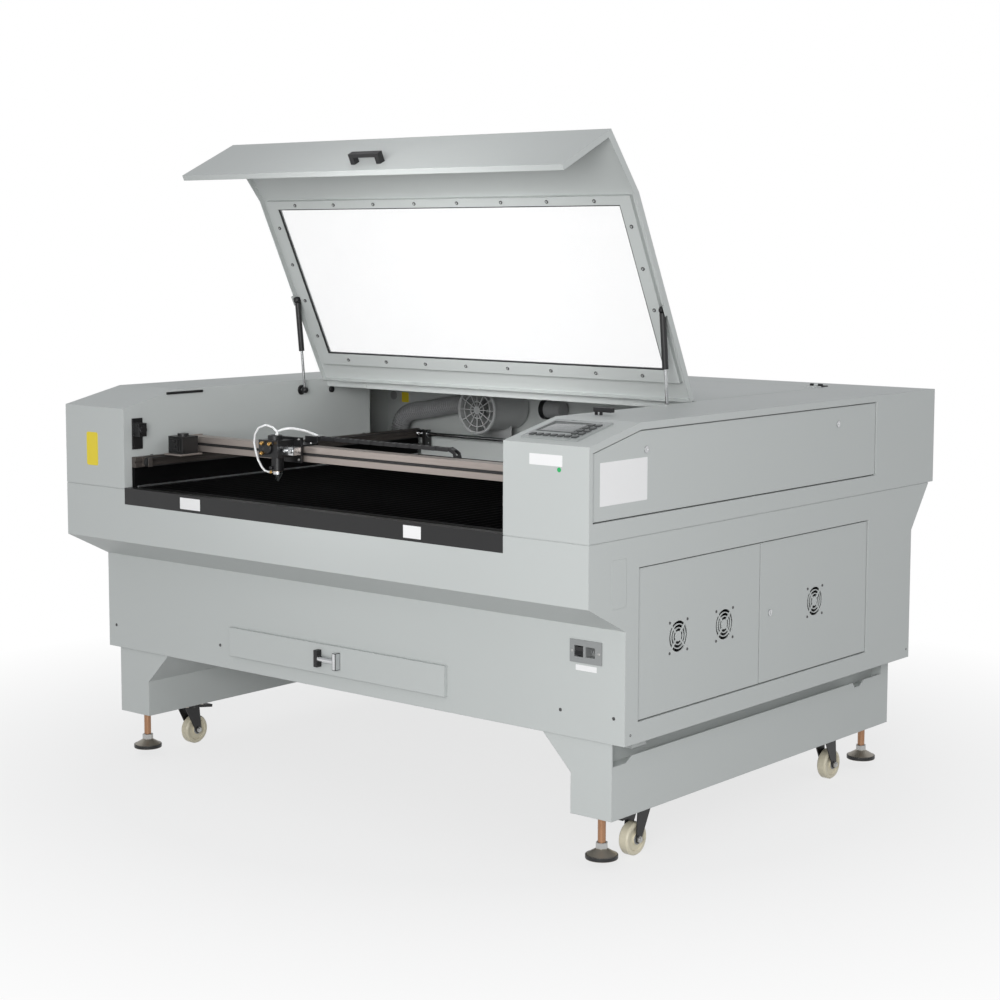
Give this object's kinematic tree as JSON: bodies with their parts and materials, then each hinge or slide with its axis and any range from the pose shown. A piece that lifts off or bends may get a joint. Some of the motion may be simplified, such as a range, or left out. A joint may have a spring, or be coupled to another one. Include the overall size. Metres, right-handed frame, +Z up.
{
  "type": "laser engraving machine",
  "caption": "Flat-bed laser engraving machine with a hinged glazed lid, moving gantry and laser head, on two skid beams with levelling feet and casters.",
  "frame": {"origin": "centre of the footprint on the floor", "axes": "+X to the operator's right, +Y from the operator to the back, +Z up; the front faces -Y"},
  "size_m": [1.8, 1.571, 1.7061],
  "materials": {
    "grey_paint": "fine textured pale grey powder coat",
    "dark_metal": "black coated metal",
    "bronze_alloy": "bronze anodised aluminium",
    "belt_rubber": "black toothed rubber",
    "duct_grey": "grey plastic",
    "hose_grey": "grey corrugated plastic",
    "tube_glass": "clear glass tube",
    "black_anodised": "black anodised aluminium",
    "keypad": "grey membrane panel",
    "black_plastic": "matt black plastic",
    "zinc": "zinc plated steel",
    "bright_steel": "bright steel",
    "window_glass": "clear pane",
    "white_hose": "white plastic hose",
    "cream_nylon": "cream nylon"
  },
  "bodies": {
    "machine": {"base_left": "grey_paint", "base_right": "grey_paint", "cabinet": "grey_paint", "upper_body": "grey_paint", "front_apron": "dark_metal", "bed_frame": "dark_metal", "bed_blades": "dark_metal", "y_rails": "bronze_alloy", "y_belts": "belt_rubber", "y_motor": "dark_metal", "exhaust_duct": "duct_grey", "exhaust_hose": "hose_grey", "laser_tube": "tube_glass", "tube_holders": "black_anodised", "mirror_mount": "black_anodised", "control_panel": "keypad", "mains_plate": "black_plastic", "power_supply": "zinc", "levelling_feet": "zinc", "caster_plates": "zinc", "hatch_hinges": "dark_metal"},
    "rocker": {"rocker_switch": "black_plastic"},
    "shaft": {"drive_shaft": "bright_steel"},
    "lid": {"lid": "grey_paint", "lid_window": "window_glass", "lid_retainer": "grey_paint", "lid_handle": "black_plastic"},
    "strut_rod_left": {"strut_rod_left": "bright_steel"},
    "strut_rod_right": {"strut_rod_right": "bright_steel"},
    "strut_cylinder_left": {"strut_cylinder_left": "dark_metal"},
    "strut_cylinder_right": {"strut_cylinder_right": "dark_metal"},
    "hatch": {"rear_hatch": "grey_paint"},
    "side_panel": {"side_panel": "grey_paint"},
    "panel_lock_front": {"panel_lock_front": "zinc"},
    "panel_lock_rear": {"panel_lock_rear": "zinc"},
    "door_front": {"door_front": "grey_paint", "fan_frames_front": "black_plastic"},
    "door_rear": {"door_rear": "grey_paint", "fan_frame_rear": "black_plastic"},
    "door_lock": {"door_lock": "zinc"},
    "fan_rotor_1": {"fan_rotor_1": "black_plastic"},
    "fan_rotor_2": {"fan_rotor_2": "black_plastic"},
    "fan_rotor_3": {"fan_rotor_3": "black_plastic"},
    "drawer": {"drawer": "grey_paint", "drawer_handle": "bright_steel"},
    "gantry": {"gantry_beam": "bronze_alloy", "x_motor": "dark_metal", "cable_chain": "black_plastic"},
    "carriage": {"carriage": "black_anodised", "laser_head": "black_anodised", "air_hose": "white_hose"},
    "lens_tube": {"lens_tube": "bright_steel"},
    "caster_fork_front_left": {"caster_fork_front_left": "dark_metal"},
    "caster_wheel_front_left": {"caster_wheel_front_left": "cream_nylon"},
    "caster_fork_front_right": {"caster_fork_front_right": "dark_metal"},
    "caster_wheel_front_right": {"caster_wheel_front_right": "cream_nylon"},
    "caster_fork_rear_left": {"caster_fork_rear_left": "dark_metal"},
    "caster_wheel_rear_left": {"caster_wheel_rear_left": "cream_nylon"},
    "caster_fork_rear_right": {"caster_fork_rear_right": "dark_metal"},
    "caster_wheel_rear_right": {"caster_wheel_rear_right": "cream_nylon"}
  },
  "joints": [
    {"name": "lid_hinge", "type": "hinge", "parent": "machine", "child": "lid", "pos_m": [0, -0.0205, 1.041], "axis": [1, 0, 0], "range_deg": [0, 64.5], "stiffness_Nm_per_rad": 26, "springref_deg": -84.8},
    {"name": "strut_foot_left", "type": "hinge", "parent": "machine", "child": "strut_rod_left", "pos_m": [-0.6415, -0.1245, 1.012], "axis": [1, 0, 0], "range_deg": [0, 80.35]},
    {"name": "strut_slide_left", "type": "slide", "parent": "strut_rod_left", "child": "strut_cylinder_left", "axis": [0, -0.1037, 0.9946], "range_m": [-0.1003, 0]},
    {"name": "strut_foot_right", "type": "hinge", "parent": "machine", "child": "strut_rod_right", "pos_m": [0.6415, -0.1245, 1.012], "axis": [1, 0, 0], "range_deg": [0, 80.35]},
    {"name": "strut_slide_right", "type": "slide", "parent": "strut_rod_right", "child": "strut_cylinder_right", "axis": [0, -0.1037, 0.9946], "range_m": [-0.1003, 0]},
    {"name": "hatch_hinge", "type": "hinge", "parent": "machine", "child": "hatch", "pos_m": [0, 0.641, 1.044], "axis": [-1, 0, 0], "range_deg": [0, 80]},
    {"name": "side_panel_hinge", "type": "hinge", "parent": "machine", "child": "side_panel", "pos_m": [0.8915, -0.1525, 0.8355], "axis": [0, 1, 0], "range_deg": [0, 80]},
    {"name": "panel_lock_front_turn", "type": "hinge", "parent": "side_panel", "child": "panel_lock_front", "pos_m": [0.885, -0.5705, 0.976], "axis": [1, 0, 0], "range_deg": [0, 90]},
    {"name": "panel_lock_rear_turn", "type": "hinge", "parent": "side_panel", "child": "panel_lock_rear", "pos_m": [0.885, 0.2725, 0.976], "axis": [1, 0, 0], "range_deg": [0, 90]},
    {"name": "door_front_hinge", "type": "hinge", "parent": "machine", "child": "door_front", "pos_m": [0.8915, -0.589, 0.5335], "axis": [0, 0, -1], "range_deg": [0, 95]},
    {"name": "door_rear_hinge", "type": "hinge", "parent": "machine", "child": "door_rear", "pos_m": [0.8915, 0.425, 0.5335], "axis": [0, 0, 1], "range_deg": [0, 95]},
    {"name": "door_lock_turn", "type": "hinge", "parent": "door_rear", "child": "door_lock", "pos_m": [0.885, -0.0415, 0.5295], "axis": [1, 0, 0], "range_deg": [0, 90]},
    {"name": "fan_spin_1", "type": "hinge", "parent": "door_front", "child": "fan_rotor_1", "pos_m": [0.882, -0.4355, 0.5295], "axis": [1, 0, 0], "continuous": true},
    {"name": "fan_spin_2", "type": "hinge", "parent": "door_front", "child": "fan_rotor_2", "pos_m": [0.882, -0.2435, 0.5295], "axis": [1, 0, 0], "continuous": true},
    {"name": "fan_spin_3", "type": "hinge", "parent": "door_rear", "child": "fan_rotor_3", "pos_m": [0.882, 0.1715, 0.5295], "axis": [1, 0, 0], "continuous": true},
    {"name": "drawer_slide", "type": "slide", "parent": "machine", "child": "drawer", "axis": [0, -1, 0], "range_m": [0, 0.4]},
    {"name": "gantry_slide", "type": "slide", "parent": "machine", "child": "gantry", "axis": [0, 1, 0], "range_m": [-0.04, 0.8]},
    {"name": "carriage_slide", "type": "slide", "parent": "gantry", "child": "carriage", "axis": [1, 0, 0], "range_m": [-0.24, 0.74]},
    {"name": "lens_slide", "type": "slide", "parent": "carriage", "child": "lens_tube", "axis": [0, 0, -1], "range_m": [0, 0.015]},
    {"name": "shaft_turn", "type": "hinge", "parent": "machine", "child": "shaft", "pos_m": [0, 0.3585, 0.852], "axis": [-1, 0, 0], "range_deg": [-221, 4368]},
    {"name": "rocker_turn", "type": "hinge", "parent": "machine", "child": "rocker", "pos_m": [0.77025, -0.6415, 0.511], "axis": [1, 0, 0], "range_deg": [0, 14]},
    {"name": "caster_swivel_front_left", "type": "hinge", "parent": "machine", "child": "caster_fork_front_left", "pos_m": [-0.801, -0.4515, 0.111], "axis": [0, 0, 1], "continuous": true},
    {"name": "caster_roll_front_left", "type": "hinge", "parent": "caster_fork_front_left", "child": "caster_wheel_front_left", "pos_m": [-0.801, -0.4255, 0.04], "axis": [1, 0, 0], "continuous": true},
    {"name": "caster_swivel_front_right", "type": "hinge", "parent": "machine", "child": "caster_fork_front_right", "pos_m": [0.801, -0.4515, 0.111], "axis": [0, 0, 1], "continuous": true},
    {"name": "caster_roll_front_right", "type": "hinge", "parent": "caster_fork_front_right", "child": "caster_wheel_front_right", "pos_m": [0.801, -0.4775, 0.04], "axis": [1, 0, 0], "continuous": true},
    {"name": "caster_swivel_rear_left", "type": "hinge", "parent": "machine", "child": "caster_fork_rear_left", "pos_m": [-0.801, 0.3935, 0.111], "axis": [0, 0, 1], "continuous": true},
    {"name": "caster_roll_rear_left", "type": "hinge", "parent": "caster_fork_rear_left", "child": "caster_wheel_rear_left", "pos_m": [-0.801, 0.4195, 0.04], "axis": [1, 0, 0], "continuous": true},
    {"name": "caster_swivel_rear_right", "type": "hinge", "parent": "machine", "child": "caster_fork_rear_right", "pos_m": [0.801, 0.3935, 0.111], "axis": [0, 0, 1], "continuous": true},
    {"name": "caster_roll_rear_right", "type": "hinge", "parent": "caster_fork_rear_right", "child": "caster_wheel_rear_right", "pos_m": [0.801, 0.4195, 0.04], "axis": [1, 0, 0], "continuous": true}
  ],
  "couplings": [
    {"joint": "strut_foot_left", "follows": "lid_hinge", "ratio": 1.2456},
    {"joint": "strut_slide_left", "follows": "lid_hinge", "m_per_rad": -0.089006},
    {"joint": "strut_foot_right", "follows": "lid_hinge", "ratio": 1.2456},
    {"joint": "strut_slide_right", "follows": "lid_hinge", "m_per_rad": -0.089006},
    {"joint": "shaft_turn", "follows": "gantry_slide", "rad_per_m": 95.238}
  ]
}
